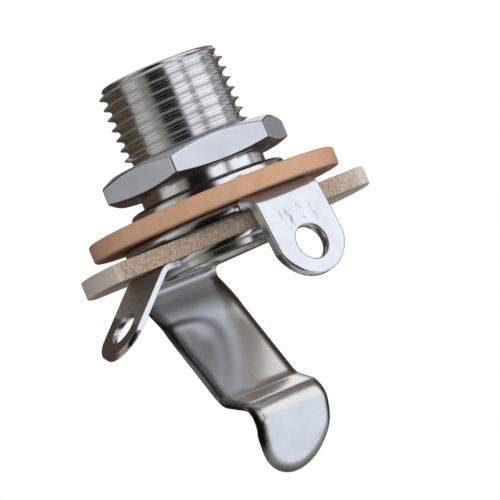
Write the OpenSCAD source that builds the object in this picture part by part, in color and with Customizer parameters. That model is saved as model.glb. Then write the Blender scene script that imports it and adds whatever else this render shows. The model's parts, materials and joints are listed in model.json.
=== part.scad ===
// Open-frame panel jack for a quarter inch mono plug.
// The origin is on the bushing's axis, on the flange face that seats against the panel.
// +Z runs out of the mouth, the sleeve lug faces -Y, the tip lug faces -X and the spring arm hangs at +Y.

/* [Bushing] */
// Outside diameter of the thread on the barrel
thread_d = 9.525; // [8.5:0.005:11]
// Length of the barrel above the flange
barrel_len = 9.35; // [7:0.05:14]
// Diameter of the bore that guides the plug
bore_d = 6.5; // [6:0.05:7]
// Chamfer on the outer edge of the mouth
mouth_chamfer = 0.45; // [0.2:0.05:0.7]
// Depth of the countersink in the mouth
mouth_lead = 0.3; // [0.1:0.05:0.6]
// Diameter of the flange
flange_d = 11.8; // [11:0.1:14]
// Thickness of the flange
flange_t = 0.8; // [0.5:0.05:1.5]
// Chamfer on the front edge of the flange
flange_edge = 0.2; // [0.05:0.05:0.4]
// Wall of the tail that carries the stack
tail_wall = 0.55; // [0.4:0.05:0.8]
// How far the tail's rim is flared outwards
flare = 0.6; // [0.3:0.05:0.8]

/* [Nut] */
// Width of the nut across its flats
nut_af = 12.7; // [12:0.1:15]
// Thickness of the nut
nut_t = 2.1; // [1.6:0.1:3.5]
// Gap between the flange and the nut as it is stored
nut_gap = 0.95; // [0.3:0.05:3]
// Angle that the nut is turned to
nut_turn = 42.5; // [0:0.5:60]
// Slope of the chamfer on the nut's front face
nut_front_slope = 25; // [15:1:35]
// Slope of the chamfer on the nut's back face
nut_back_slope = 17; // [10:1:35]
// Margin between the nut's flats and its chamfer circle
nut_chamfer_margin = 0.15; // [0.05:0.05:0.5]
// Countersink at each end of the nut's bore
nut_lead = 0.3; // [0.1:0.05:0.5]

/* [Wafers] */
// Diameter of the upper wafer
upper_wafer_d = 19.1; // [16:0.1:24]
// Thickness of the upper wafer
upper_wafer_t = 1.36; // [0.8:0.02:2.5]
// Chamfer that softens the upper wafer's edges
upper_wafer_edge = 0.12; // [0.05:0.01:0.3]
// Diameter of the lower wafer over its round ends
lower_wafer_d = 22.05; // [18:0.05:26]
// Thickness of the lower wafer
lower_wafer_t = 1.32; // [0.8:0.02:2.5]
// Width of the lower wafer across its sheared flats
lower_wafer_flats = 10.6; // [9.5:0.1:13]
// Angle that the lower wafer is turned to, from the sleeve lug towards the tip lug
lower_wafer_turn = 24; // [0:0.5:40]

/* [Sleeve terminal] */
// Diameter of the sleeve terminal's ring
sleeve_ring_d = 14.6; // [12:0.1:18]
// Sheet thickness of the sleeve terminal
sleeve_sheet = 0.85; // [0.4:0.05:1]
// Angle that the sleeve lug is turned to, away from the tip lug
sleeve_turn = 2; // [0:0.5:10]
// Width of the sleeve lug
sleeve_lug_w = 6; // [4:0.1:7]
// Length of the sleeve lug from the corner of its fold to its round end
sleeve_lug_len = 6.7; // [5:0.1:10]
// Angle that the sleeve lug leans outwards
sleeve_lug_lean = 8; // [0:1:20]
// Inside radius of the sleeve lug's fold
sleeve_fold_r = 0.4; // [0.2:0.05:0.8]
// Diameter of the hole in the sleeve lug
sleeve_hole_d = 2.6; // [1.5:0.1:3.2]
// Distance of that hole from the lug's round end
sleeve_hole_back = 2.4; // [1.8:0.1:3.2]

/* [Tip terminal] */
// Sheet thickness of the tip terminal
tip_sheet = 0.45; // [0.3:0.05:0.8]
// How far the tip lug runs on flat past the ring
tip_lug_flat = 0.45; // [0.2:0.05:1.5]
// Width of the tip lug
tip_lug_w = 4.9; // [4:0.1:7]
// Length of the tip lug from the corner of its fold to its round end
tip_lug_len = 7.15; // [5:0.05:10]
// Angle that the tip lug slopes below the ring
tip_lug_slope = 40; // [20:1:70]
// Inside radius of the tip lug's fold
tip_fold_r = 0.8; // [0.3:0.05:1.2]
// Diameter of the hole in the tip lug
tip_hole_d = 2.4; // [1.5:0.1:3]
// Distance of that hole from the lug's round end
tip_hole_back = 2.5; // [1.8:0.1:3.2]

/* [Insulating collar] */
// Wall of the collar inside the tip terminal
collar_wall = 0.6; // [0.4:0.05:1]
// How far the collar's lip reaches under the tip terminal
collar_lip = 0.75; // [0.4:0.05:1.2]
// Thickness of the collar's lip
collar_lip_t = 0.4; // [0.3:0.05:0.8]

/* [Tip spring] */
// Sheet thickness of the tip spring
spring_sheet = 0.4; // [0.25:0.05:0.6]
// Width of the metal in the spring's ring foot
foot_band = 1; // [0.8:0.1:2.5]
// How far the tip terminal's ring reaches past the foot
foot_setback = 0.3; // [0.2:0.05:1]
// Length of the foot from the axis to the corner of the fold
foot_reach = 9.25; // [8.9:0.05:11]
// Inside radius of the fold between foot and arm
spring_fold_r = 1.1; // [0.4:0.05:1.2]
// Width of the arm
arm_w = 7.2; // [5:0.1:8]
// How far the arm is set off the axis, away from the tip lug
arm_set = 0.18; // [0:0.02:0.4]
// Length of the arm's shoulder, from the corner of the fold to the corner of the elbow
shoulder_len = 3.9; // [3.5:0.1:5]
// Angle that the shoulder leans in towards the axis
shoulder_lean = 36; // [28:0.5:40]
// Length of the arm below the elbow, between the corners of its bends
arm_len = 7.6; // [6:0.1:10]
// Angle that the arm leans in towards the axis
arm_lean = 26; // [15:0.5:30]
// Length of the step that carries the nose inwards
step_len = 3.45; // [2.8:0.05:4.5]
// Angle of the step from upright
step_lean = 68; // [45:1:75]
// Width of the nose
nose_w = 6.6; // [4:0.1:7]
// Length of the nose's contact face between the corners of its bends
nose_len = 2.9; // [2.4:0.05:4]
// Angle that the contact face leans away from the axis
nose_lean = 22; // [10:0.5:30]
// Length of the nose's turned-out end
nose_end_len = 3; // [2:0.1:4]
// Angle that the turned-out end leans away from the axis
nose_end_lean = 35; // [30:1:50]
// Bend radius of the elbow, at the middle of the sheet
elbow_bend_r = 8; // [4:0.5:9]
// Bend radius between arm and step, at the middle of the sheet
step_bend_r = 1.6; // [1:0.1:2]
// Bend radius of the contact nose, at the middle of the sheet
nose_bend_r = 1.4; // [0.8:0.1:1.5]
// Bend radius of the turned-out end, at the middle of the sheet
nose_end_bend_r = 4; // [2:0.1:5]

/* [Fits] */
// Radial clearance of the nut on the thread
thread_clearance = 0.06; // [0.02:0.01:0.1]
// Radial clearance of the stack on the tail and on the collar
stack_clearance = 0.05; // [0.02:0.01:0.15]
// Gap between the sleeve lug's fold and the lower wafer's flat
lug_clearance = 0.1; // [0.05:0.05:0.5]
// Radial gap between the collar's lip and the spring's foot
foot_clearance = 0.3; // [0.2:0.05:0.6]

/* [Hidden] */
$fn = 96;
// Largest turn between two points of a bend
bend_step = 5;
// How much a lug's end is flatter than a half circle
lug_end_ease = 0.1;
// How far the straight sides of the spring's foot run into its ring
foot_side_sink = 0.1;
// How far a cut runs past the faces that it opens
cut_past = 1;

// Colours of the finishes
nickel = [0.80, 0.80, 0.79];
satin_nickel = [0.72, 0.73, 0.75];
smooth_fibre = [0.80, 0.58, 0.44];
rough_fibre = [0.70, 0.57, 0.47];
dark_fibre = [0.36, 0.25, 0.18];

// Heights of the stack's faces, from the flange down
flange_z = -flange_t;
upper_wafer_z = flange_z - upper_wafer_t;
sleeve_z = upper_wafer_z - sleeve_sheet;
lower_wafer_z = sleeve_z - lower_wafer_t;
tip_z = lower_wafer_z - tip_sheet;
collar_z = tip_z - collar_lip_t;
spring_mid_z = tip_z - spring_sheet / 2;

// Radii from the bore outwards
bore_r = bore_d / 2;
thread_r = thread_d / 2;
tail_r = bore_r + tail_wall;
flare_r = tail_r + flare;
stack_hole_r = tail_r + stack_clearance;
collar_r = stack_hole_r + collar_wall;
tip_hole_r = collar_r + stack_clearance;
collar_lip_r = collar_r + collar_lip;
foot_hole_r = collar_lip_r + foot_clearance;
foot_r = foot_hole_r + foot_band;
tip_ring_r = foot_r + foot_setback;

// Where the sleeve lug starts to fold, just clear of the turned flat
sleeve_fold_start = (lower_wafer_flats / 2 + lug_clearance + sleeve_lug_w / 2 * sin(lower_wafer_turn))
                    / cos(lower_wafer_turn);
sleeve_mid_r = sleeve_fold_r + sleeve_sheet / 2;
sleeve_corner = [sleeve_fold_start + setback(sleeve_mid_r, 90 - sleeve_lug_lean),
                 sleeve_z + sleeve_sheet / 2];
sleeve_path = [[stack_hole_r, sleeve_corner[1]], sleeve_corner,
               sleeve_corner + sleeve_lug_len * down(-sleeve_lug_lean)];

// The tip lug folds outside the spring's foot
tip_mid_r = tip_fold_r + tip_sheet / 2;
tip_corner = [tip_ring_r + tip_lug_flat + setback(tip_mid_r, tip_lug_slope), tip_z + tip_sheet / 2];
tip_path = [[tip_hole_r, tip_corner[1]], tip_corner,
            tip_corner + tip_lug_len * down(tip_lug_slope - 90)];

// Middle line of the spring's sheet, from the foot to the end of the nose
spring_mid_r = spring_fold_r + spring_sheet / 2;
spring_fold = [foot_reach, spring_mid_z];
elbow = spring_fold + shoulder_len * down(shoulder_lean);
arm_end = elbow + arm_len * down(arm_lean);
step_end = arm_end + step_len * down(step_lean);
nose_end = step_end + nose_len * down(-nose_lean);
spring_end = nose_end + nose_end_len * down(-nose_end_lean);
spring_path = [[foot_hole_r, spring_mid_z], spring_fold, elbow, arm_end, step_end, nose_end, spring_end];
spring_radii = [0, spring_mid_r, elbow_bend_r, step_bend_r, nose_bend_r, nose_end_bend_r, 0];
foot_end = foot_reach - setback(spring_mid_r, 90 + shoulder_lean);

// Unit vector that points down and leans inwards by an angle
function down(lean) = [-sin(lean), -cos(lean)];
// Length that a bend of radius r takes from each straight run
function setback(r, angle) = r * tan(abs(angle) / 2);
// Unit vector at an angle
function along(angle) = [cos(angle), sin(angle)];
// Direction of the run from a to b
function heading(a, b) = atan2(b[1] - a[1], b[0] - a[0]);
// Signed turn at b on the way from a to c
function turn(a, b, c) = let (d = heading(b, c) - heading(a, b)) d - 360 * round(d / 360);
// Points of one bend on the side at a signed distance from the middle line
function bend_points(before, corner, after, r, offset) = let (
    into = heading(before, corner),
    angle = turn(before, corner, after),
    side = sign(angle),
    steps = ceil(abs(angle) / bend_step),
    centre = corner - setback(r, angle) * along(into) + side * r * along(into + 90)
) [for (k = [0 : steps]) centre + (r - side * offset) * along(into - side * 90 + k * angle / steps)];
// Points of a whole folded sheet on one side of its middle line
function side_points(path, radii, offset) = let (last = len(path) - 1) [
    path[0] + offset * along(heading(path[0], path[1]) + 90),
    for (i = [1 : last - 1]) each bend_points(path[i - 1], path[i], path[i + 1], radii[i], offset),
    path[last] + offset * along(heading(path[last - 1], path[last]) + 90)
];
// The same points from the last to the first
function reversed(points) = [for (i = [len(points) - 1 : -1 : 0]) points[i]];

// Ends of one straight side of the spring's foot: its corner at the fold and its place on the ring
function foot_side(x) = let (
    corner = [x, foot_end],
    touch_r = foot_r - foot_side_sink,
    tangent = atan2(abs(x), foot_end) + acos(touch_r / norm(corner))
) [corner, touch_r * [sign(x) * sin(tangent), cos(tangent)]];

// Section of a folded sheet along a path of its middle line
module folded_section(path, radii, sheet) {
    polygon(concat(side_points(path, radii, sheet / 2), reversed(side_points(path, radii, -sheet / 2))));
}

// Sheet folded along a path in the plane of +Y and +Z, centred on X
module folded_sheet(path, radii, sheet, width) {
    rotate([90, 0, 90]) linear_extrude(width, center = true) folded_section(path, radii, sheet);
}

// Places children on a lug, at a distance from its fold's corner: X across, -Y down it, Z out of it
module on_lug(corner, lean, distance) {
    place = corner + distance * down(lean);
    translate([0, place[0], place[1]]) rotate([90 - lean, 0, 0]) children();
}

// All that lies before a lug's rounded end
module before_end(end_r, reach) {
    cylinder(r = end_r, h = reach, center = true);
    translate([-reach, 0, -reach]) cube(2 * reach);
}

// Stamped ring with one folded lug that has a round end and a hole, pointing along +Y
module terminal(path, fold_r, sheet, ring_r, hole_r, lug_w, lug_len, lug_lean, lug_hole_r, lug_hole_back) {
    corner = path[1];
    end_r = lug_w / 2 + lug_end_ease;
    difference() {
        union() {
            translate([0, 0, corner[1] - sheet / 2]) cylinder(r = ring_r, h = sheet);
            intersection() {
                folded_sheet(path, [0, fold_r, 0], sheet, lug_w);
                on_lug(corner, lug_lean, lug_len - end_r) before_end(end_r, 2 * (ring_r + lug_len));
            }
        }
        translate([0, 0, corner[1]]) cylinder(r = hole_r, h = sheet + 2 * cut_past, center = true);
        on_lug(corner, lug_lean, lug_len - lug_hole_back)
            cylinder(r = lug_hole_r, h = sheet + 2 * cut_past, center = true);
    }
}

// Turned brass body: barrel, flange and tail with a flared rim
module bushing() {
    color(nickel) rotate_extrude()
        polygon([[bore_r, tip_z], [bore_r, barrel_len - mouth_lead], [bore_r + mouth_lead, barrel_len],
                 [thread_r - mouth_chamfer, barrel_len], [thread_r, barrel_len - mouth_chamfer],
                 [thread_r, 0], [flange_d / 2 - flange_edge, 0], [flange_d / 2, -flange_edge],
                 [flange_d / 2, flange_z],
                 [tail_r, flange_z], [tail_r, tip_z], [flare_r, collar_z], [bore_r + flare, collar_z]]);
}

// Thin hexagon nut, chamfered on both faces
module hex_nut() {
    flat_r = nut_af / 2;
    corner_r = flat_r / cos(30);
    face_r = flat_r - nut_chamfer_margin;
    front_drop = (corner_r - face_r) * tan(nut_front_slope);
    back_drop = (corner_r - face_r) * tan(nut_back_slope);
    hole_r = thread_r + thread_clearance;
    color(satin_nickel) translate([0, 0, nut_gap]) difference() {
        intersection() {
            rotate(nut_turn) cylinder(r = corner_r, h = nut_t, $fn = 6);
            rotate_extrude()
                polygon([[0, 0], [face_r, 0], [corner_r, back_drop], [corner_r, nut_t - front_drop],
                         [face_r, nut_t], [0, nut_t]]);
        }
        rotate_extrude()
            polygon([[0, -cut_past], [hole_r + nut_lead + cut_past, -cut_past], [hole_r, nut_lead],
                     [hole_r, nut_t - nut_lead], [hole_r + nut_lead + cut_past, nut_t + cut_past],
                     [0, nut_t + cut_past]]);
    }
}

// Smooth insulating disc under the flange
module upper_wafer() {
    outer_r = upper_wafer_d / 2;
    edge = upper_wafer_edge;
    color(smooth_fibre) rotate_extrude()
        polygon([[stack_hole_r, upper_wafer_z], [outer_r - edge, upper_wafer_z],
                 [outer_r, upper_wafer_z + edge], [outer_r, flange_z - edge], [outer_r - edge, flange_z],
                 [stack_hole_r, flange_z]]);
}

// Ring on the tail with a lug folded down past the lower wafer
module sleeve_terminal() {
    color(nickel) rotate(180 + sleeve_turn)
        terminal(sleeve_path, sleeve_mid_r, sleeve_sheet, sleeve_ring_d / 2, stack_hole_r, sleeve_lug_w,
                 sleeve_lug_len, -sleeve_lug_lean, sleeve_hole_d / 2, sleeve_hole_back);
}

// Wafer sheared from strip, with round ends
module lower_wafer() {
    color(rough_fibre) translate([0, 0, lower_wafer_z])
    rotate(sleeve_turn - lower_wafer_turn) difference() {
        intersection() {
            cylinder(d = lower_wafer_d, h = lower_wafer_t);
            translate([0, 0, lower_wafer_t / 2])
                cube([2 * lower_wafer_d, lower_wafer_flats, lower_wafer_t + 2 * cut_past], center = true);
        }
        translate([0, 0, -cut_past]) cylinder(r = stack_hole_r, h = lower_wafer_t + 2 * cut_past);
    }
}

// Shouldered bush between the tail and the tip terminal, countersunk for the flared rim
module insulating_collar() {
    color(dark_fibre) rotate_extrude()
        polygon([[stack_hole_r, tip_z], [stack_hole_r, lower_wafer_z], [collar_r, lower_wafer_z],
                 [collar_r, tip_z], [collar_lip_r, tip_z], [collar_lip_r, collar_z],
                 [flare_r + stack_clearance, collar_z]]);
}

// Ring round the collar with a lug that slopes down and outwards
module tip_terminal() {
    color(nickel) rotate(90)
        terminal(tip_path, tip_mid_r, tip_sheet, tip_ring_r, tip_hole_r, tip_lug_w, tip_lug_len,
                 tip_lug_slope - 90, tip_hole_d / 2, tip_hole_back);
}

// One folded leaf: ring foot, leaning arm, step and contact nose
module tip_spring() {
    color(satin_nickel) difference() {
        union() {
            translate([0, 0, tip_z - spring_sheet]) linear_extrude(spring_sheet) foot_outline();
            translate([arm_set, 0, 0]) intersection() {
                folded_sheet(spring_path, spring_radii, spring_sheet, arm_w);
                rotate([90, 0, 0]) linear_extrude(2 * (foot_reach + arm_len), center = true) arm_outline();
            }
        }
        translate([0, 0, spring_mid_z])
            cylinder(r = foot_hole_r, h = spring_sheet + 2 * cut_past, center = true);
    }
}

// Plan of the foot: a ring whose sides run straight to the fold
module foot_outline() {
    right = foot_side(arm_set + arm_w / 2);
    left = foot_side(arm_set - arm_w / 2);
    circle(foot_r);
    polygon([right[0], right[1], [0, 0], left[1], left[0]]);
}

// Front view of the arm and nose: the nose is narrower and has a round end
module arm_outline() {
    nose_r = nose_w / 2;
    round_z = spring_end[1] + nose_r;
    polygon([[-arm_w, 0], [-arm_w, arm_end[1]], [-arm_w / 2, arm_end[1]], [-nose_r, step_end[1]],
             [-nose_r, round_z], [nose_r, round_z], [nose_r, step_end[1]], [arm_w / 2, arm_end[1]],
             [arm_w, arm_end[1]], [arm_w, 0]]);
    translate([0, round_z]) circle(nose_r);
}

bushing();
hex_nut();
upper_wafer();
sleeve_terminal();
lower_wafer();
insulating_collar();
tip_terminal();
tip_spring();
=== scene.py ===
# %% [markdown]
# # A quarter inch phone jack
#
# This lesson dresses a panel jack: a threaded nickel bushing with a hexagon nut, two insulating wafers,
# two solder terminals and a bent contact spring. The solids come ready made in one fixed frame, so
# nothing is moved or resized. We keep the solids whose form is right, give them rounded edges and
# finishes, and make new meshes only for the two pieces that need more: the bushing, whose thread the
# solids leave plain, and the spring, which is formed from a folded strip. Lengths are in millimetres
# unless a name says otherwise, and MM turns them into Blender's metres.

# %% Load the fixed frame
import json
import math

import bmesh
import bpy
from mathutils import Matrix, Vector


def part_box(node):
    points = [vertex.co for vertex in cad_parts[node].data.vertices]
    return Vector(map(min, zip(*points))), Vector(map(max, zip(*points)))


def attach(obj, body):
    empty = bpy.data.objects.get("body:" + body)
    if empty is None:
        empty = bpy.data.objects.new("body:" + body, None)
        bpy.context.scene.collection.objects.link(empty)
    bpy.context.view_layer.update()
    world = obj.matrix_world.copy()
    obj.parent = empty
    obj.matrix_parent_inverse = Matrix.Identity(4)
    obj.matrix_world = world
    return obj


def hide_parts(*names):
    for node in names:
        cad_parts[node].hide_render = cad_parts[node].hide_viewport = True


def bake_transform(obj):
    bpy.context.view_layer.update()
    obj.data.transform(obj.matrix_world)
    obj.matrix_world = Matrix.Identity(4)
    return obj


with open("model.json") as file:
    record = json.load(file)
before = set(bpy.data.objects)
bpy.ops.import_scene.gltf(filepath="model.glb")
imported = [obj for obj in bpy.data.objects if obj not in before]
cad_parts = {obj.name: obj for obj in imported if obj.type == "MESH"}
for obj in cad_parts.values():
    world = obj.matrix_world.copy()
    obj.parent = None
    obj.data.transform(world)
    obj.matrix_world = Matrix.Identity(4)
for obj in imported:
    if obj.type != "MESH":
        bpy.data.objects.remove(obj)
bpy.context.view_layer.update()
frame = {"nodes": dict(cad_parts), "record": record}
nodes = frame["nodes"]
MM = 0.001
print("nodes:", sorted(nodes))

# %% [markdown]
# ## The camera
#
# The picture shows the jack almost level with the lens, leaning over to the left. Leaning the model would
# spoil the frame that its joints rely on, so the camera rolls instead. A camera needs three directions:
# where it looks, which way is right and which way is up. We build them from the two places and then turn
# right and up by the roll.

# %% Place the camera
CAMERA_PLACE = Vector((-150.98, -211.67, -16.36)) * MM
CAMERA_TARGET = Vector((0.965, -0.688, -5.427)) * MM
CAMERA_ROLL = math.radians(-22.64)
CAMERA_LENS = 259.4


def rolled_camera(place, target, roll, lens):
    look = (target - place).normalized()
    level_right = look.cross(Vector((0, 0, 1))).normalized()
    level_up = level_right.cross(look)
    right = math.cos(roll) * level_right + math.sin(roll) * level_up
    up = math.cos(roll) * level_up - math.sin(roll) * level_right
    data = bpy.data.cameras.new("camera")
    data.lens = lens
    data.clip_start = MM
    camera = bpy.data.objects.new("camera", data)
    camera.matrix_world = Matrix.Translation(place) @ Matrix((right, up, -look)).transposed().to_4x4()
    bpy.context.scene.collection.objects.link(camera)
    return camera


bpy.context.scene.camera = rolled_camera(CAMERA_PLACE, CAMERA_TARGET, CAMERA_ROLL, CAMERA_LENS)
print("camera distance in mm:", round((CAMERA_TARGET - CAMERA_PLACE).length / MM, 1))

# %% [markdown]
# ## Small helpers for node materials
#
# A material in Blender is a graph of nodes. Building a graph by hand takes many lines, so a few helpers
# carry the load: the first ones add a node, do sums with values and mix two shaders. The others give
# coordinates measured in millimetres, so that a grain of half a millimetre can be written as such, and
# turn a grey value into a range, a pair of tones or a bump.

# %% Helpers for nodes
def new_material(name):
    material = bpy.data.materials.new(name)
    material.use_nodes = True
    tree = material.node_tree
    return material, tree, tree.nodes["Principled BSDF"]


def add_node(tree, kind, sockets=None, **settings):
    node = tree.nodes.new(kind)
    for name, value in settings.items():
        setattr(node, name, value)
    for name, value in (sockets or {}).items():
        if isinstance(value, bpy.types.NodeSocket):
            tree.links.new(value, node.inputs[name])
        else:
            node.inputs[name].default_value = value
    return node


def sums(tree, operation, first, second=0.0):
    return add_node(tree, "ShaderNodeMath", {0: first, 1: second}, operation=operation).outputs[0]


def length_of(tree, vector):
    return add_node(tree, "ShaderNodeVectorMath", {0: vector}, operation="LENGTH").outputs["Value"]


def mix_shaders(tree, share, first, second):
    return add_node(tree, "ShaderNodeMixShader", {0: share, 1: first.outputs[0], 2: second.outputs[0]})


print("helpers for nodes ready")


# %% Helpers for textures
def in_mm(tree, stretch=(1, 1, 1)):
    place = add_node(tree, "ShaderNodeTexCoord").outputs["Object"]
    scale = [factor / MM for factor in stretch]
    return add_node(tree, "ShaderNodeMapping", {"Vector": place, "Scale": scale}).outputs["Vector"]


def noise(tree, place, scale, detail=4.0, roughness=0.5):
    sockets = {"Vector": place, "Scale": scale, "Detail": detail, "Roughness": roughness}
    return add_node(tree, "ShaderNodeTexNoise", sockets).outputs["Fac"]


def spread(tree, value, low, high, from_low=0.3, from_high=0.7):
    sockets = {"Value": value, "From Min": from_low, "From Max": from_high, "To Min": low, "To Max": high}
    return add_node(tree, "ShaderNodeMapRange", sockets).outputs["Result"]


def two_tone(tree, value, dark, light, dark_at=0.35, light_at=0.65):
    ramp = add_node(tree, "ShaderNodeValToRGB", {"Fac": value})
    for element, place, colour in zip(ramp.color_ramp.elements, (dark_at, light_at), (dark, light)):
        element.position = place
        element.color = (*colour, 1)
    return ramp.outputs["Color"]


def bump(tree, height, depth_mm):
    sockets = {"Height": height, "Distance": depth_mm * MM, "Strength": 1.0}
    return add_node(tree, "ShaderNodeBump", sockets).outputs["Normal"]


print("helpers for textures ready")

# %% [markdown]
# ## Plated metals
#
# All the metal is plated, but each piece wears it differently. The bushing was turned and tumbled bright,
# the nut is dull with burnished edges, the terminals are tinned sheet and the spring is plated strip. One
# function makes them all: a tinted metal whose roughness wanders a little, with fine scratches that are
# stretched along the piece. A dull finish scatters some light as paint does, so the nut's metal share
# stays below one.

# %% Function for plated metal
PATCHES_PER_MM = 0.6


def plated_metal(name, dark, light, polish, stretch, depth_mm, metal_share=1.0, detail=5.0):
    material, tree, shader = new_material(name)
    patches = noise(tree, in_mm(tree), PATCHES_PER_MM, detail=3.0)
    scratches = noise(tree, in_mm(tree, stretch), 1.0, detail, roughness=0.6)
    shader.inputs["Metallic"].default_value = metal_share
    tree.links.new(two_tone(tree, patches, dark, light), shader.inputs["Base Color"])
    tree.links.new(spread(tree, scratches, *polish), shader.inputs["Roughness"])
    tree.links.new(bump(tree, scratches, depth_mm), shader.inputs["Normal"])
    return material


print("tone patches in mm:", round(1 / PATCHES_PER_MM, 2))

# %% Metal finishes
TIN = {"dark": (0.76, 0.80, 0.88), "light": (0.83, 0.87, 0.95), "polish": (0.12, 0.22),
       "stretch": (9, 0.8, 0.8), "depth_mm": 0.001}
bright_nickel = plated_metal("bright_nickel", dark=(0.80, 0.81, 0.84), light=(0.88, 0.89, 0.92),
                             polish=(0.12, 0.20), stretch=(0.9, 0.9, 1.7), depth_mm=0.03, detail=1.0)
satin_nickel = plated_metal("satin_nickel", dark=(0.68, 0.72, 0.82), light=(0.75, 0.79, 0.89),
                            polish=(0.28, 0.38), stretch=(1.5, 1.5, 9), depth_mm=0.002, metal_share=0.7)
burnished_edge = plated_metal("burnished_edge", dark=(0.80, 0.82, 0.88), light=(0.86, 0.88, 0.94),
                              polish=(0.10, 0.16), stretch=(3, 3, 3), depth_mm=0.0002)
spring_strip = plated_metal("spring_strip", dark=(0.76, 0.76, 0.75), light=(0.82, 0.82, 0.81),
                            polish=(0.19, 0.26), stretch=(6, 2, 2), depth_mm=0.0002)
tinned_sheet = plated_metal("tinned_sheet", **TIN)
sleeve_sheet = plated_metal("sleeve_sheet", **TIN)
metals = [bright_nickel, satin_nickel, burnished_edge, spring_strip, tinned_sheet, sleeve_sheet]
print("metal finishes:", [metal.name for metal in metals])

# %% [markdown]
# ## Fibre boards
#
# The upper wafer is a smooth pressed disc, the lower one a coarser board that was sheared, so its cut
# flats are speckled with torn fibre, and the collar inside is a dark fibre. All come from one function: a
# two-toned grain and a bump, with the grain's size, contrast and depth as the difference between them.

# %% Fibre finishes
def fibre_board(name, dark, light, grain_per_mm, grain_depth_mm, contrast, roughness):
    material, tree, shader = new_material(name)
    grain = noise(tree, in_mm(tree), grain_per_mm, detail=6.0, roughness=0.65)
    shader.inputs["Roughness"].default_value = roughness
    shader.inputs["Specular IOR Level"].default_value = 0.35
    tone = two_tone(tree, grain, dark, light, 0.5 - contrast, 0.5 + contrast)
    tree.links.new(tone, shader.inputs["Base Color"])
    tree.links.new(bump(tree, grain, grain_depth_mm), shader.inputs["Normal"])
    return material


smooth_fibre = fibre_board("smooth_fibre", dark=(0.56, 0.32, 0.20), light=(0.63, 0.38, 0.25),
                           grain_per_mm=0.9, grain_depth_mm=0.004, contrast=0.2, roughness=0.4)
rough_fibre = fibre_board("rough_fibre", dark=(0.33, 0.24, 0.18), light=(0.60, 0.47, 0.38),
                          grain_per_mm=5.5, grain_depth_mm=0.05, contrast=0.12, roughness=0.8)
dark_fibre = fibre_board("dark_fibre", dark=(0.07, 0.04, 0.025), light=(0.11, 0.065, 0.04),
                         grain_per_mm=3.0, grain_depth_mm=0.01, contrast=0.15, roughness=0.6)
print("fibre finishes:", [fibre.name for fibre in (smooth_fibre, rough_fibre, dark_fibre)])

# %% [markdown]
# ## Solids that keep their form
#
# The nut, the wafers, the collar and the two terminals are right as they are. What a drawing leaves out
# is the small rounding that every stamped or turned edge has, and that is what catches the light.
# Modifiers add it without touching the mesh. The solids arrive with every face cut loose, and a bevel
# only works on edges that join two faces, so a weld joins the faces first. Dissolving the seams inside
# each flat then leaves the bevel only the true edges.

# %% Function that rounds the edges
JOIN_GAP = 0.001 * MM
FLAT_ANGLE = math.radians(0.3)
EDGE_ANGLE = math.radians(35)


def dress(name, material, edge_mm, segments=2, edge_material=None):
    piece = nodes[name]
    piece.data.materials.clear()
    piece.data.materials.append(material)
    weld = piece.modifiers.new("joined_faces", "WELD")
    weld.merge_threshold = JOIN_GAP
    flats = piece.modifiers.new("whole_flats", "DECIMATE")
    flats.decimate_type = "DISSOLVE"
    flats.angle_limit = FLAT_ANGLE
    bevel = piece.modifiers.new("rounded_edges", "BEVEL")
    bevel.width = edge_mm * MM
    bevel.segments = segments
    bevel.limit_method = "ANGLE"
    bevel.angle_limit = EDGE_ANGLE
    bevel.use_clamp_overlap = False
    bevel.harden_normals = True
    if edge_material:
        piece.data.materials.append(edge_material)
        bevel.material = 1
    return piece


print("edges turn by at least, in degrees:", round(math.degrees(EDGE_ANGLE)))

# %% Dress the six solids
dressed = [
    dress("hex_nut", satin_nickel, edge_mm=0.11, segments=4, edge_material=burnished_edge),
    dress("upper_wafer", smooth_fibre, edge_mm=0.05),
    dress("lower_wafer", rough_fibre, edge_mm=0.08),
    dress("insulating_collar", dark_fibre, edge_mm=0.04),
    dress("sleeve_terminal", sleeve_sheet, edge_mm=0.16),
    dress("tip_terminal", tinned_sheet, edge_mm=0.05),
]
print("dressed solids:", [piece.name for piece in dressed])

# %% [markdown]
# ## Wear, painted shade and painted sheen
#
# A used jack isn't even, and here some light and shade is painted in as colour as well. The lower board's
# round ends are smoother than its cut flats and paler, partly as painted sheen, and its right end is
# painted paler still as sheen from the right. The dark lines beside the sleeve ring are painted shade of
# the gaps between the boards, while the scores on its lug are wear. Painting an image would tie the finish
# to one mesh. A mask made from the place on the jack needs no image: it rises or falls along an axis or
# with the distance from the axis, and where two masks are multiplied only their overlap remains. The
# painted shade on the nut's underside takes its mask from the way the surface faces. Each mask then lays a
# plain colour over the finish below it.

# %% Helpers for masks
def along(tree, axis):
    """Place along one axis of the jack in millimetres."""
    return add_node(tree, "ShaderNodeSeparateXYZ", {"Vector": in_mm(tree)}).outputs[axis]


def from_axis(tree):
    """Distance from the jack's axis in millimetres."""
    flat = add_node(tree, "ShaderNodeVectorMath", {0: in_mm(tree), 1: (1, 1, 0)}, operation="MULTIPLY")
    return length_of(tree, flat.outputs["Vector"])


def away_from(tree, value, centre):
    """How far a value is from a centre, on either side."""
    return sums(tree, "ABSOLUTE", sums(tree, "SUBTRACT", value, centre))


def rise(tree, value, start, end, share=1):
    """Zero up to the start, growing to the share at the end."""
    return spread(tree, value, 0, share, start, end)


def fall(tree, value, start, end, share=1):
    """The share up to the start, shrinking to zero at the end."""
    return spread(tree, value, share, 0, start, end)


def both(tree, first, second):
    """Share where two masks overlap."""
    return sums(tree, "MULTIPLY", first, second)


def lay_over(material, share, colour):
    """Lays a plain colour over a finish where the share is high."""
    tree = material.node_tree
    base = tree.nodes["Principled BSDF"].inputs["Base Color"]
    finish = base.links[0].from_socket
    mix = add_node(tree, "ShaderNodeMix", {"Factor": share}, data_type="RGBA")
    tree.links.new(finish, mix.inputs[6])
    mix.inputs[7].default_value = (*colour, 1)
    tree.links.new(mix.outputs[2], base)


print("helpers for masks ready")
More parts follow.
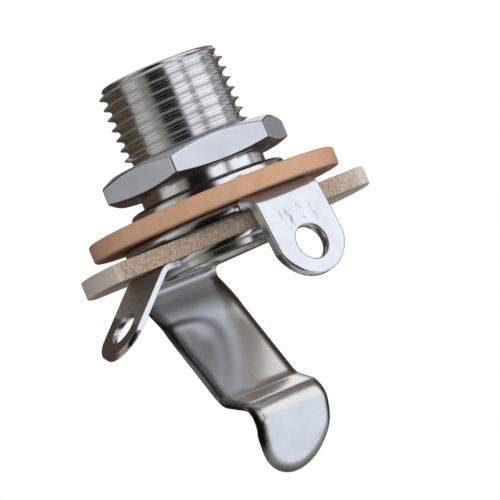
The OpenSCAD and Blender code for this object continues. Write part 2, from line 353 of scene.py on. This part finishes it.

# %% Pale ends of the lower wafer, with painted sheen on them
tree = rough_fibre.node_tree
# The round ends are smoother than the cut flats, and part of their paler tone is painted sheen.
smooth_ends_and_sheen = rise(tree, from_axis(tree), start=10.5, end=10.9, share=0.7)
lay_over(rough_fibre, smooth_ends_and_sheen, colour=(0.66, 0.57, 0.51))
# Painted sheen: the board grows paler towards its right end, standing for light falling from the right.
right_sheen = rise(tree, along(tree, "X"), start=4.5, end=9.0, share=0.6)
lay_over(rough_fibre, right_sheen, colour=(0.84, 0.79, 0.78))

# %% Painted gap shade and scores on the sleeve terminal
RING_MID_Z = (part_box("upper_wafer")[0].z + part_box("lower_wafer")[1].z) / 2 / MM
RING_R = 7.3
SCORES_X = 0.1
SCORES_Z = -4.75
tree = sleeve_sheet.node_tree
# Painted shade: dark bands along the ring's top and bottom edges stand for the shade in the gaps between
# the boards.
gap_shade_band = rise(tree, away_from(tree, along(tree, "Z"), RING_MID_Z), start=0.17, end=0.34, share=0.95)
on_ring = fall(tree, from_axis(tree), start=RING_R + 0.04, end=RING_R + 0.12)
lay_over(sleeve_sheet, both(tree, gap_shade_band, on_ring), colour=(0.03, 0.017, 0.012))
scratches = noise(tree, in_mm(tree, stretch=(4, 4, 0.5)), 1.0, detail=2.0)
scores = rise(tree, scratches, start=0.55, end=0.62, share=0.7)
over_hole = fall(tree, away_from(tree, along(tree, "Z"), SCORES_Z), start=0.5, end=0.9)
mid_lug = fall(tree, away_from(tree, along(tree, "X"), SCORES_X), start=1.2, end=1.8)
lay_over(sleeve_sheet, both(tree, scores, both(tree, over_hole, mid_lug)), colour=(0.30, 0.31, 0.36))
print("middle of the sleeve ring in mm:", round(RING_MID_Z, 3))


# %% Painted shade on the nut's underside
def facing(tree, axis):
    """How much a surface faces along an axis, from minus one to one."""
    normal = add_node(tree, "ShaderNodeNewGeometry").outputs["Normal"]
    return add_node(tree, "ShaderNodeSeparateXYZ", {"Vector": normal}).outputs[axis]


for finish in (satin_nickel, burnished_edge):
    tree = finish.node_tree
    # Painted shade: faces turned downwards are darkened for the shade under the nut and the dark it
    # mirrors there.
    shaded_underside = fall(tree, facing(tree, "Z"), start=-0.5, end=-0.2, share=0.9)
    lay_over(finish, shaded_underside, colour=(0.06, 0.052, 0.042))
    print("dark below:", finish.name)

# %% [markdown]
# ## The threaded bushing
#
# The bushing is turned from bar: a thread of 32 turns to the inch, a plain neck, a flange and a thin tail
# that is flared to hold the stack. The thread is a ridge that climbs one pitch with each turn. A stack of
# rings would be quicker, but its crests would not climb and its first turn would not fade into the mouth.
# So the barrel is a net of helical lines: each line follows one point of the thread's profile, and where
# it runs past an end it is held at that end, where the doubled points then merge into a plain ring.

# %% Sizes of the bushing
bore = next(mount for mount in frame["record"]["mounts"] if mount["name"] == "plug_bore")
BORE_R = bore["dims"]["r_mm"]
FLANGE_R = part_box("bushing")[1].x / MM
BARREL_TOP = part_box("bushing")[1].z / MM
TAIL_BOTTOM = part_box("bushing")[0].z / MM
FLANGE_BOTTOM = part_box("upper_wafer")[1].z / MM
# The flange's rounded upper edge: how far each point lies from its rim, and its height.
FLANGE_ROUND = [(0, -0.25), (-0.08, -0.14), (-0.2, -0.05), (-0.38, 0)]
FLANGE_LOW_EDGE = 0.06
TAIL_WALL = 0.55
TAIL_R = BORE_R + TAIL_WALL
FLARE = 0.6
FLARE_H = 0.4
MOUTH_LEAD = 0.3
RIM_ROUND = 0.25
print("bushing from", round(TAIL_BOTTOM, 2), "to", round(BARREL_TOP, 2), "mm")

# %% Sizes of the thread
CREST_R = 4.74
ROOT_R = 4.26
CREST_SHARPNESS = 2.2
PITCH = 25.4 / 32
THREAD_START = math.radians(217)
NECK_R = 4.76
NECK_FILLET = 0.12
NECK_LOW = 0.98
NECK_TOP = 1.2
RUN_OUT = 0.25
LEAD_DEPTH = 0.62
LEAD_SLOPE = 0.95
TURN_POINTS = 160
PROFILE_POINTS = 16
print("thread turns:", round((BARREL_TOP - NECK_TOP) / PITCH, 1))


# %% Shape of the barrel's outside
def smooth_step(value, low, high):
    share = min(max((value - low) / (high - low), 0), 1)
    return share * share * (3 - 2 * share)


def thread_r(share):
    """Radius of the thread at a share of its pitch: a sharp crest and a wide round root."""
    return ROOT_R + (CREST_R - ROOT_R) * abs(2 * share - 1) ** CREST_SHARPNESS


def barrel_r(z, share):
    """Radius of the barrel: a straight neck, the thread, and the lead that cuts the first turn down."""
    neck = NECK_R + (ROOT_R - NECK_R) * smooth_step(z, NECK_LOW, NECK_TOP)
    threaded = smooth_step(z, NECK_TOP, NECK_TOP + RUN_OUT)
    radius = neck + (thread_r(share) - neck) * threaded
    lead = CREST_R - LEAD_SLOPE * max(z - (BARREL_TOP - LEAD_DEPTH), 0)
    return min(radius, lead)


print("radius at the mouth in mm:", round(barrel_r(BARREL_TOP, 0), 2))


# %% Rings and the helical net
def ring(bm, radius, z):
    turns = [THREAD_START + 2 * math.pi * i / TURN_POINTS for i in range(TURN_POINTS)]
    return [bm.verts.new((radius * MM * math.cos(t), radius * MM * math.sin(t), z * MM)) for t in turns]


def bridge(bm, lower, upper):
    for i in range(len(lower)):
        j = (i + 1) % len(lower)
        bm.faces.new((lower[i], lower[j], upper[j], upper[i]))


def fill_net(bm, net):
    for lower, upper in zip(net, net[1:]):
        for i in range(len(lower) - 1):
            bm.faces.new((lower[i], lower[i + 1], upper[i + 1], upper[i]))


def helical_barrel(bm, bottom, top):
    rows = int((top - bottom) / PITCH + 2) * PROFILE_POINTS
    net = []
    for row in range(rows + 1):
        line = []
        for i in range(TURN_POINTS + 1):
            turn = i / TURN_POINTS
            z = bottom + PITCH * (row / PROFILE_POINTS + turn - 1)
            z = min(max(z, bottom), top)
            radius = barrel_r(z, (row % PROFILE_POINTS) / PROFILE_POINTS)
            angle = THREAD_START + 2 * math.pi * turn
            place = Vector((radius * math.cos(angle), radius * math.sin(angle), z))
            line.append(bm.verts.new(place * MM))
        net.append(line)
    fill_net(bm, net)


def finish_mesh(bm, name, material):
    bmesh.ops.remove_doubles(bm, verts=bm.verts, dist=1e-7)
    bmesh.ops.recalc_face_normals(bm, faces=bm.faces)
    for face in bm.faces:
        face.smooth = True
    mesh = bpy.data.meshes.new(name)
    bm.to_mesh(mesh)
    bm.free()
    mesh.materials.append(material)
    piece = bpy.data.objects.new(name, mesh)
    bpy.context.scene.collection.objects.link(piece)
    return piece


print("points to a turn:", TURN_POINTS)


# %% Build the bushing
def mouth_outline(barrel_top):
    """Rounded rim and the lead into the bore."""
    centre_r = barrel_r(barrel_top, 0) - RIM_ROUND
    quarter = [math.radians(15 * k) for k in range(7)]
    rim = [(centre_r + RIM_ROUND * math.cos(t), barrel_top + RIM_ROUND * math.sin(t)) for t in quarter]
    return rim + [(BORE_R + MOUTH_LEAD, BARREL_TOP), (BORE_R, BARREL_TOP - MOUTH_LEAD)]


def tail_outline():
    """From the bore's end round the flared tail, along the flange and up to the neck."""
    tail = [(BORE_R, TAIL_BOTTOM + FLARE_H), (BORE_R + FLARE, TAIL_BOTTOM), (TAIL_R + FLARE, TAIL_BOTTOM),
            (TAIL_R, TAIL_BOTTOM + FLARE_H), (TAIL_R, FLANGE_BOTTOM)]
    flange = [(FLANGE_R - FLANGE_LOW_EDGE, FLANGE_BOTTOM), (FLANGE_R, FLANGE_BOTTOM + FLANGE_LOW_EDGE)]
    flange += [(FLANGE_R + inset, z) for inset, z in FLANGE_ROUND]
    neck = [(NECK_R + NECK_FILLET, 0), (NECK_R + NECK_FILLET / 4, NECK_FILLET / 4), (NECK_R, NECK_FILLET)]
    return tail + flange + neck


def make_bushing():
    bm = bmesh.new()
    barrel_top = BARREL_TOP - RIM_ROUND
    helical_barrel(bm, NECK_FILLET, barrel_top)
    rings = [ring(bm, radius, z) for radius, z in mouth_outline(barrel_top) + tail_outline()]
    for lower, upper in zip(rings, rings[1:]):
        bridge(bm, lower, upper)
    piece = finish_mesh(bm, "threaded_bushing", bright_nickel)
    piece.data.set_sharp_from_angle(angle=math.radians(38))
    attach(piece, "stack")
    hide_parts("bushing")
    return piece


threaded_bushing = make_bushing()
print("bushing faces:", len(threaded_bushing.data.polygons))

# %% [markdown]
# ## Worn crests and painted sheen
#
# Every nut and panel that passed over the thread has rubbed its crests, so they are duller than the
# grooves, and their pale grey is painted sheen for the light band that the flanks near each crest
# reflect. The mask is the distance from the axis, above the neck, and it also takes the metal share
# down, because rubbed plating scatters light.

# %% Rub the crests and paint their sheen
tree = bright_nickel.node_tree
above_neck = rise(tree, along(tree, "Z"), start=1.1, end=1.3)
# Rubbed crests are duller, and their pale grey also paints the light band the flanks reflect.
crest_wear_and_sheen = both(tree, above_neck, rise(tree, from_axis(tree), start=4.47, end=4.66, share=0.78))
lay_over(bright_nickel, crest_wear_and_sheen, colour=(0.46, 0.46, 0.42))
metal_share = spread(tree, crest_wear_and_sheen, 1.0, 0.3, from_low=0, from_high=1)
tree.links.new(metal_share, tree.nodes["Principled BSDF"].inputs["Metallic"])
print("thread depth in mm:", round(CREST_R - ROOT_R, 2))

# %% [markdown]
# ## The tip spring
#
# On the real jack the spring is stamped flat and then folded, and we can make it the same way. The blank
# is a ring with a tongue; we lay out the tongue's rows along a path with rounded corners, so the fold,
# the step and the nose come out of the path alone. Towards the nose's end the rows bend into its round
# outline, because straight rows would leave slivers there. The edges roll back a little, as a plug must
# not catch on them. The sheet gets its thickness from a modifier, so the mesh stays a simple skin.

# %% Sizes of the spring
SPRING_SHEET = 0.4
SPRING_EDGE = 0.15
FOOT_HOLE_R = 5.5
FOOT_R = 6.5
FOOT_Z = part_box("tip_spring")[1].z / MM - SPRING_SHEET / 2
ARM_W = 7.2
ARM_SET = 0.18
NOSE_W = 6.6
NOSE_ROWS_RISE = 0.6
CROWN = 0.15
ROLL = 0.3
ROLL_W = 0.65
FORM_LAG = 1.0
FOLD_REACH = 9.25
# Each run of the tongue: its length and its lean from upright in degrees.
SPRING_RUNS = [(3.9, 36), (7.6, 26), (3.45, 68), (2.9, -22), (2.86, -35)]
BEND_RADII = [0.8, 8.0, 1.6, 1.4, 4.0]
print("tongue length in mm:", round(sum(length for length, lean in SPRING_RUNS), 2))


# %% Path of the spring
def path_corners():
    corners = [Vector((FOOT_HOLE_R, FOOT_Z)), Vector((FOLD_REACH, FOOT_Z))]
    for length, lean in SPRING_RUNS:
        angle = math.radians(lean)
        corners.append(corners[-1] - length * Vector((math.sin(angle), math.cos(angle))))
    return corners


def bend_samples(before, corner, after, radius, step_deg=4):
    into = (corner - before).normalized()
    out = (after - corner).normalized()
    angle = into.angle(out)
    side = 1 if into.cross(out) > 0 else -1
    start = corner - radius * math.tan(angle / 2) * into
    centre = start + side * radius * Vector((-into.y, into.x))
    steps = max(2, math.ceil(math.degrees(angle) / step_deg))
    turns = [side * angle * k / steps for k in range(steps + 1)]
    return [centre + Matrix.Rotation(turn, 2) @ (start - centre) for turn in turns]


def tongue_path(corners, spacing=0.3):
    bends = [bend_samples(corners[i], corners[i + 1], corners[i + 2], r) for i, r in enumerate(BEND_RADII)]
    samples = []
    for bend, following in zip(bends, bends[1:]):
        count = max(1, round((following[0] - bend[-1]).length / spacing))
        samples += bend + [bend[-1].lerp(following[0], k / count) for k in range(1, count)]
    return samples + bends[-1] + [corners[-1]]


corners = path_corners()
tongue = tongue_path(corners)
FOLD_Z, ELBOW_Z, ARM_END_Z, STEP_END_Z = [corner.y for corner in corners[1:5]]
ROUND_Z = corners[-1].y + NOSE_W / 2
END_TOP = ROUND_Z + NOSE_ROWS_RISE
print("path points:", len(tongue))


# %% Outline of the tongue
def half_width(z):
    return (ARM_W + (NOSE_W - ARM_W) * smooth_step(-z, -ARM_END_Z, -STEP_END_Z)) / 2


def path_y(z):
    """How far back the folded sheet stands at a height."""
    for upper, lower in zip(tongue, tongue[1:]):
        if lower.y <= z:
            return upper.lerp(lower, (upper.y - z) / (upper.y - lower.y)).x
    return tongue[-1].x


def edge_distance(x, z):
    """How far a point of the tongue is from its outline, seen from the front."""
    if z < ROUND_Z:
        return max(NOSE_W / 2 - math.hypot(x, z - ROUND_Z), 0)
    return half_width(z) - abs(x)


def across_shares(columns):
    """Shares from one side, minus one, to the other, one, closer together towards the edges."""
    return [math.sin(math.pi * (k / columns - 0.5)) for k in range(columns + 1)]


def tongue_rows(columns, end_rows=24, end_gap=0.05):
    """Rows across the tongue, level down to the nose's end, where they bend into its round outline."""
    shares = across_shares(columns)
    level = [point for point in tongue if point.y > END_TOP + end_gap]
    rows = [[Vector((half_width(point.y) * s, point.x, point.y)) for s in shares] for point in level]
    for r in range(end_rows + 1):
        row = []
        for s in shares:
            outline_z = ROUND_Z - NOSE_W / 2 * math.sqrt(max(1 - s * s, 0))
            z = END_TOP + (outline_z - END_TOP) * r / end_rows
            row.append(Vector((NOSE_W / 2 * s, path_y(z), z)))
        rows.append(row)
    return rows


print("width at the fold and at the nose in mm:", 2 * half_width(FOLD_Z), 2 * half_width(ROUND_Z))


# %% Form the foot and the tongue
def foot_edge(columns, side_points=5, arc_points=60):
    """Outline of the foot: along the fold, down its right side, round the ring and up its left side."""
    left, right = [Vector((ARM_SET + side * ARM_W / 2, tongue[0].x)) for side in (-1, 1)]
    leave, meet = [math.atan2(abs(p.x), p.y) + math.acos(FOOT_R / p.length) for p in (right, left)]
    turns = [leave + (2 * math.pi - meet - leave) * k / arc_points for k in range(arc_points + 1)]
    arc = [FOOT_R * Vector((math.sin(t), math.cos(t))) for t in turns]
    front = [left.lerp(right, 0.5 + 0.5 * s) for s in across_shares(columns)]
    down = [right.lerp(arc[0], k / side_points) for k in range(1, side_points)]
    up = [arc[-1].lerp(left, k / side_points) for k in range(1, side_points)]
    return front + down + arc + up


def form_foot(bm, columns, rings=4):
    outline = foot_edge(columns)
    loops = []
    for k in range(rings + 1):
        places = [edge.lerp(FOOT_HOLE_R * edge.normalized(), k / rings) for edge in outline]
        loops.append([bm.verts.new((p.x * MM, p.y * MM, FOOT_Z * MM)) for p in places])
    for outer, inner in zip(loops, loops[1:]):
        bridge(bm, outer, inner)


def form_tongue(bm, columns):
    """Tongue with a slight crown and rolled edges, which begin a little below the fold."""
    net = []
    for places in tongue_rows(columns):
        row = []
        for place in places:
            started = smooth_step(-place.z, -FOLD_Z + FORM_LAG, -ELBOW_Z + FORM_LAG)
            crown = CROWN * ((place.x / half_width(place.z)) ** 2 - 0.5)
            roll = ROLL * max(0, 1 - edge_distance(place.x, place.z) / ROLL_W) ** 2
            place += Vector((ARM_SET, started * (crown + roll), 0))
            row.append(bm.verts.new(place * MM))
        net.append(row)
    fill_net(bm, net)


print("points round the foot:", len(foot_edge(columns=28)))


def make_spring(columns=28):
    bm = bmesh.new()
    form_foot(bm, columns)
    form_tongue(bm, columns)
    piece = finish_mesh(bm, "tip_spring_leaf", spring_strip)
    sheet = piece.modifiers.new("sheet", "SOLIDIFY")
    sheet.thickness = SPRING_SHEET * MM
    sheet.offset = 0
    sheet.use_even_offset = True
    bevel = piece.modifiers.new("rounded_edges", "BEVEL")
    bevel.width = SPRING_EDGE * MM
    bevel.segments = 4
    bevel.limit_method = "ANGLE"
    bevel.angle_limit = math.radians(50)
    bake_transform(piece)
    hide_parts("tip_spring")
    return piece


tip_spring_leaf = make_spring()
print("spring faces:", len(tip_spring_leaf.data.polygons))

# %% [markdown]
# ## Painted shade on the spring
#
# The strip is painted darker at its fold and the top of its arm, for the dark that the fold's curve
# reflects, and along its rolled edges, for the shade of their curve. The first mask runs down the arm.
# The second is the distance from a line down the nose's middle that ends at the centre of its round end,
# so one mask follows both the straight edges and the round one. The foot is left bright.

# %% Paint shade on the strip
NOSE_CENTRE_Z = ROUND_Z - 0.11
tree = spring_strip.node_tree
below_foot = fall(tree, along(tree, "Z"), start=-5.7, end=-5.4)
# Painted shade at the fold and the top of the arm, for the dark that the fold's curve reflects.
fold_shade = rise(tree, along(tree, "Z"), start=-8.6, end=-7.0, share=0.8)
lay_over(spring_strip, both(tree, fold_shade, below_foot), colour=(0.13, 0.12, 0.095))
across = away_from(tree, along(tree, "X"), ARM_SET)
past_centre = sums(tree, "MAXIMUM", sums(tree, "SUBTRACT", NOSE_CENTRE_Z, along(tree, "Z")))
offset = add_node(tree, "ShaderNodeCombineXYZ", {"X": across, "Z": past_centre}).outputs[0]
from_middle = length_of(tree, offset)
# Painted shade along the rolled edges and round the nose's end, for the shade that their curve takes.
edge_shade = rise(tree, from_middle, start=2.7, end=3.2, share=0.85)
lay_over(spring_strip, both(tree, edge_shade, below_foot), colour=(0.10, 0.095, 0.08))
print("centre of the nose's round end in mm:", round(NOSE_CENTRE_Z, 2))

# %% [markdown]
# ## Floor and background
#
# The picture has a white background and soft light. A white world would also pour light on the jack from
# all sides, so Light Path separates the two: what the camera and the metal see is white, and what lights
# the surfaces is dimmer. The floor keeps the jack's shadow near the middle and fades into the background
# towards its edge. Its underside is clear, so that a camera placed below it still sees the jack.

# %% White background
FILL_STRENGTH = 0.35
WHITE = (1, 1, 1, 1)


def sees_background(tree):
    """One for rays that see the background, straight or mirrored, and zero for rays that gather light."""
    path = add_node(tree, "ShaderNodeLightPath")
    sees = path.outputs["Is Camera Ray"]
    for kind in ("Is Glossy Ray", "Is Transmission Ray"):
        sees = sums(tree, "MAXIMUM", sees, path.outputs[kind])
    return sees


world = bpy.data.worlds.new("studio")
bpy.context.scene.world = world
world.use_nodes = True
tree = world.node_tree
tree.nodes.clear()
fill = add_node(tree, "ShaderNodeBackground", {"Strength": FILL_STRENGTH, "Color": WHITE})
white = add_node(tree, "ShaderNodeBackground", {"Strength": 1.0, "Color": WHITE})
mixed = mix_shaders(tree, sees_background(tree), fill, white)
add_node(tree, "ShaderNodeOutputWorld", {"Surface": mixed.outputs[0]})
print("world fill:", FILL_STRENGTH)

# %% Floor
FLOOR_Z = -80
FLOOR_R = 300
FLOOR_COLOUR = (0.6, 0.6, 0.6, 1)
FADE_START = 0.25 * FLOOR_R
FADE_END = 0.95 * FLOOR_R


def floor_material():
    material, tree, shader = new_material("pale_floor")
    shader.inputs["Base Color"].default_value = FLOOR_COLOUR
    shader.inputs["Roughness"].default_value = 0.9
    fade = spread(tree, length_of(tree, in_mm(tree)), 0.8, 1.0, FADE_START, FADE_END)
    glow = add_node(tree, "ShaderNodeEmission", {"Color": WHITE, "Strength": 1.0})
    faded = mix_shaders(tree, sums(tree, "MULTIPLY", sees_background(tree), fade), shader, glow)
    from_below = add_node(tree, "ShaderNodeNewGeometry").outputs["Backfacing"]
    sided = mix_shaders(tree, from_below, faded, add_node(tree, "ShaderNodeBsdfTransparent"))
    tree.links.new(sided.outputs[0], tree.nodes["Material Output"].inputs["Surface"])
    return material


def plain_floor():
    bm = bmesh.new()
    bmesh.ops.create_circle(bm, cap_ends=True, segments=64, radius=FLOOR_R * MM)
    mesh = bpy.data.meshes.new("floor")
    bm.to_mesh(mesh)
    bm.free()
    mesh.materials.append(floor_material())
    floor = bpy.data.objects.new("floor", mesh)
    floor.location.z = FLOOR_Z * MM
    bpy.context.scene.collection.objects.link(floor)
    return floor


plain_floor()
print("floor at mm:", FLOOR_Z)

# %% [markdown]
# ## Lamps
#
# Three large soft lamps light the fibre and the dull metal: the key beside the camera, a strong one from
# the right that makes the wafers' right ends pale, and a weak one from the left. Polished metal would
# mirror a lamp as a hard white square, so the lamps stay out of reflections, and the cards of the next
# step take their place there.

# %% Three soft lamps
CAMERA_AZIMUTH = math.atan2(CAMERA_PLACE.x, -CAMERA_PLACE.y)


def around(azimuth_deg, elevation_deg, distance_mm):
    """A place round the jack; azimuth 0 is the camera's own side and positive is to its right."""
    angle = CAMERA_AZIMUTH + math.radians(azimuth_deg)
    level = math.cos(math.radians(elevation_deg))
    height = math.sin(math.radians(elevation_deg))
    return Vector((math.sin(angle) * level, -math.cos(angle) * level, height)) * distance_mm * MM


def soft_lamp(name, place, size_mm, watts):
    data = bpy.data.lights.new(name, "AREA")
    data.shape = "SQUARE"
    data.size = size_mm * MM
    data.energy = watts
    lamp = bpy.data.objects.new(name, data)
    lamp.location = place
    lamp.rotation_mode = "QUATERNION"
    lamp.rotation_quaternion = (-place).to_track_quat("-Z", "Y")
    lamp.visible_glossy = False
    bpy.context.scene.collection.objects.link(lamp)
    return lamp


lamps = [
    soft_lamp("key_lamp", around(8, 6, 400), size_mm=260, watts=0.8),
    soft_lamp("right_lamp", around(85, 12, 400), size_mm=200, watts=0.65),
    soft_lamp("left_lamp", around(-65, 12, 450), size_mm=260, watts=0.12),
]
print("lamps:", [lamp.name for lamp in lamps])

# %% [markdown]
# ## Cards for the metal to mirror
#
# Polished metal only shows what stands round it. A photographer sets up cards for it, dark ones for
# contrast and coloured ones for warmth, and we do the same with patches of a sphere. They stay out of the
# camera's sight, cast no shadow and give the dull surfaces no light, so they change what the metal
# mirrors and nothing else. Their edges fade, as a hard edge would draw a line on every round piece. Most
# cards that reach far below the horizon stand close, above the floor, and where two overlap the closer
# one shows.

# %% Function for a card
def soft_edged(place, low, high, feather):
    """One inside a range and zero at its ends, with a smooth change between; a full circle has no ends."""
    if high - low >= 360:
        return 1
    return smooth_step(place, low, low + feather) * (1 - smooth_step(place, high - feather, high))


def card_material(name, colour):
    material, tree = new_material(name)[:2]
    share = add_node(tree, "ShaderNodeAttribute", attribute_name="cover").outputs["Fac"]
    clear = add_node(tree, "ShaderNodeBsdfTransparent")
    glow = add_node(tree, "ShaderNodeEmission", {"Color": (*colour, 1), "Strength": 1.0})
    mixed = mix_shaders(tree, share, clear, glow)
    tree.links.new(mixed.outputs[0], tree.nodes["Material Output"].inputs["Surface"])
    return material


def card(name, azimuths_deg, elevations_deg, radius_mm, colour, feather_deg=12, step_deg=3):
    """A patch of a sphere round the jack that only reflections see, with soft edges."""
    bm = bmesh.new()
    cover = bm.verts.layers.float.new("cover")
    (left, right), (low, high) = azimuths_deg, elevations_deg
    columns = math.ceil((right - left) / step_deg)
    rows = math.ceil((high - low) / step_deg)
    net = []
    for r in range(rows + 1):
        elevation = low + (high - low) * r / rows
        line = []
        for c in range(columns + 1):
            azimuth = left + (right - left) * c / columns
            point = bm.verts.new(around(azimuth, elevation, radius_mm))
            point[cover] = soft_edged(azimuth, left, right, feather_deg)
            point[cover] *= soft_edged(elevation, low, high, feather_deg)
            line.append(point)
        net.append(line)
    fill_net(bm, net)
    piece = finish_mesh(bm, name, card_material(name, colour))
    piece.visible_camera = False
    piece.visible_diffuse = False
    piece.visible_shadow = False
    return piece


print("card function ready")

# %% Close cards
close_cards = [
    card("dark_card", (-36, 22), (-78, 78), 71, (0.004, 0.005, 0.004)),
    card("left_card", (-88, -40), (-24, 34), 72, (0.58, 0.56, 0.53), feather_deg=14),
    card("step_card", (-20, 42), (-66, -14), 72, (0.06, 0.058, 0.05), feather_deg=9),
    card("olive_card", (-74, -20), (-80, 80), 73, (0.27, 0.265, 0.22)),
    card("back_olive_card", (-190, -100), (44, 80), 73.5, (0.34, 0.335, 0.29), feather_deg=10),
    card("brown_card", (-190, -48), (-68, 68), 74, (0.07, 0.048, 0.03), feather_deg=28),
    card("table_card", (107, 255), (-46, 12), 75, (0.10, 0.085, 0.07), feather_deg=16),
    card("blue_card", (54, 122), (-84, -4), 76, (0.80, 0.86, 1.0), feather_deg=10),
    card("under_card", (0, 360), (-89.9, -36), 77.5, (0.42, 0.42, 0.37), feather_deg=10),
]
print("close cards:", len(close_cards))

# %% Far cards
far_cards = [
    card("right_card", (104, 141), (-18, 16), 628, (0.62, 0.62, 0.65), feather_deg=9),
    card("grey_card", (40, 60), (-40, 26), 630, (0.24, 0.24, 0.25), feather_deg=8),
    card("back_card", (138, 186), (-20, 20), 634, (0.06, 0.058, 0.055), feather_deg=9),
    card("warm_card", (95, 165), (-40, 70), 640, (0.17, 0.14, 0.12)),
    card("high_card", (10, 110), (36, 75), 645, (0.42, 0.43, 0.46)),
    card("top_card", (0, 360), (66, 89.9), 650, (0.42, 0.42, 0.41), feather_deg=8),
]
print("far cards:", len(far_cards))

# %% [markdown]
# ## Finish
#
# The Standard view shows colours as they are written, so a finish can be judged by its numbers.

bpy.context.scene.view_settings.view_transform = "Standard"
